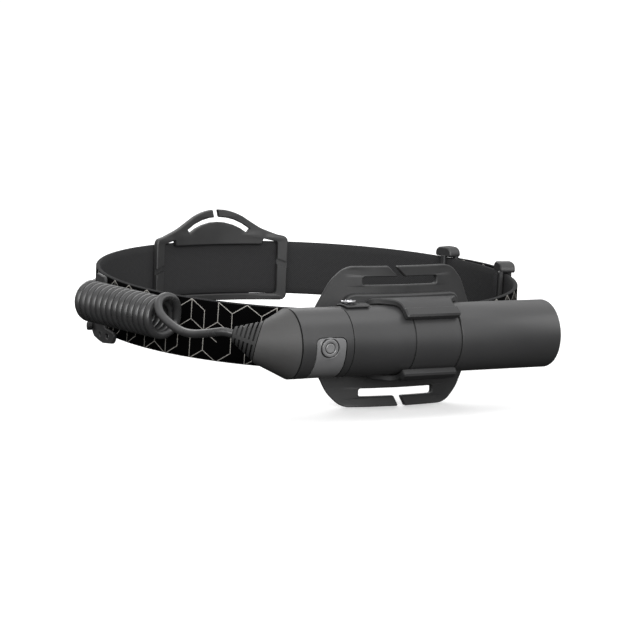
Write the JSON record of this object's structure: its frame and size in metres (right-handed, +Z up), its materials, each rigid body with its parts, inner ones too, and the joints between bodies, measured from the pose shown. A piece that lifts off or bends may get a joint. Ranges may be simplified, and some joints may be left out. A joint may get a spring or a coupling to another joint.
{
  "type": "miner's cap lamp with rear battery tube",
  "caption": "Headband cap lamp: elastic strap, tilting lamp head at the front, screw-open battery tube in a snap cradle at the rear, and a coiled cord between them.",
  "frame": {"origin": "middle of the strap's loop, at the strap's mid height at the sides", "axes": "+X to the wearer's right, where the strap's two buckles are; +Y forwards, from the battery tube at the rear to the lamp; +Z up"},
  "size_m": [0.2121, 0.25, 0.0612],
  "materials": {
    "shell": "black anodised, satin",
    "black_plastic": "fine spark-eroded grain",
    "soft_plastic": "matt",
    "rubber": "matt moulded",
    "cord_rubber": "smooth jacket",
    "webbing": "woven elastic with pale hexagon lines",
    "smoked_panel": "smoked, half gloss",
    "chrome": "polished",
    "steel": "brushed",
    "aluminium": "turned",
    "circuit_board": "solder mask",
    "cell_wrap": "plastic sleeve on a metal can",
    "led_phosphor": "yellow phosphor under clear resin",
    "clear_lens": "clear"
  },
  "bodies": {
    "headband": {"strap": "webbing", "strap_return": "webbing", "rear_plate": "black_plastic", "cradle_pad": "black_plastic", "upper_jaw": "black_plastic", "lower_jaw": "black_plastic", "fixed_buckle": "black_plastic", "front_bracket": "black_plastic", "lamp_base": "black_plastic", "side_bracket": "black_plastic", "side_pin": "black_plastic", "control_housing": "shell", "smoked_panel": "smoked_panel", "button_ring": "soft_plastic", "tact_switch": "steel", "main_tube": "shell", "battery_cell": "cell_wrap", "contact_plate": "steel", "control_board": "circuit_board", "charge_block": "black_plastic", "contact_ring": "chrome", "contact_pin": "chrome", "end_cap": "soft_plastic", "strain_relief": "rubber", "cord_coil": "cord_rubber", "cord_rear": "cord_rubber", "cord_front": "cord_rubber"},
    "lamp_head": {"lamp_shell": "shell", "bezel": "aluminium", "lens": "clear_lens", "reflector": "chrome", "led_board": "circuit_board", "led": "led_phosphor", "heat_sink": "aluminium", "pivot_pin": "steel", "cord_gland": "rubber"},
    "lamp_button": {"lamp_button": "rubber"},
    "pack_button": {"pack_button": "rubber"},
    "barrel_seal": {"barrel_o_ring": "rubber"},
    "barrel": {"barrel": "shell", "contact_spring": "steel"},
    "slider_buckle": {"slider_buckle": "black_plastic"}
  },
  "joints": [
    {"name": "lamp_tilt", "type": "hinge", "parent": "headband", "child": "lamp_head", "pos_m": [0, 0.1085, 0.0008], "axis": [1, 0, 0], "range_deg": [-60, 0]},
    {"name": "lamp_button_press", "type": "slide", "parent": "lamp_head", "child": "lamp_button", "axis": [0, 0, -1], "range_m": [0, 0.0004], "stiffness_N_per_m": 1500},
    {"name": "pack_button_press", "type": "slide", "parent": "headband", "child": "pack_button", "axis": [0, 1, 0], "range_m": [0, 0.0005], "stiffness_N_per_m": 1500},
    {"name": "barrel_advance", "type": "slide", "parent": "headband", "child": "barrel_seal", "axis": [1, 0, 0], "range_m": [0, 0.005]},
    {"name": "barrel_turn", "type": "hinge", "parent": "barrel_seal", "child": "barrel", "pos_m": [0, -0.11, 0.0004], "axis": [1, 0, 0], "range_deg": [0, 1440]},
    {"name": "buckle_slide", "type": "hinge", "parent": "headband", "child": "slider_buckle", "pos_m": [0.013, -0.0006, 0], "axis": [0, 0, 1], "range_deg": [-2, 2]}
  ],
  "couplings": [
    {"joint": "barrel_advance", "follows": "barrel_turn", "m_per_rad": 0.00019894}
  ]
}
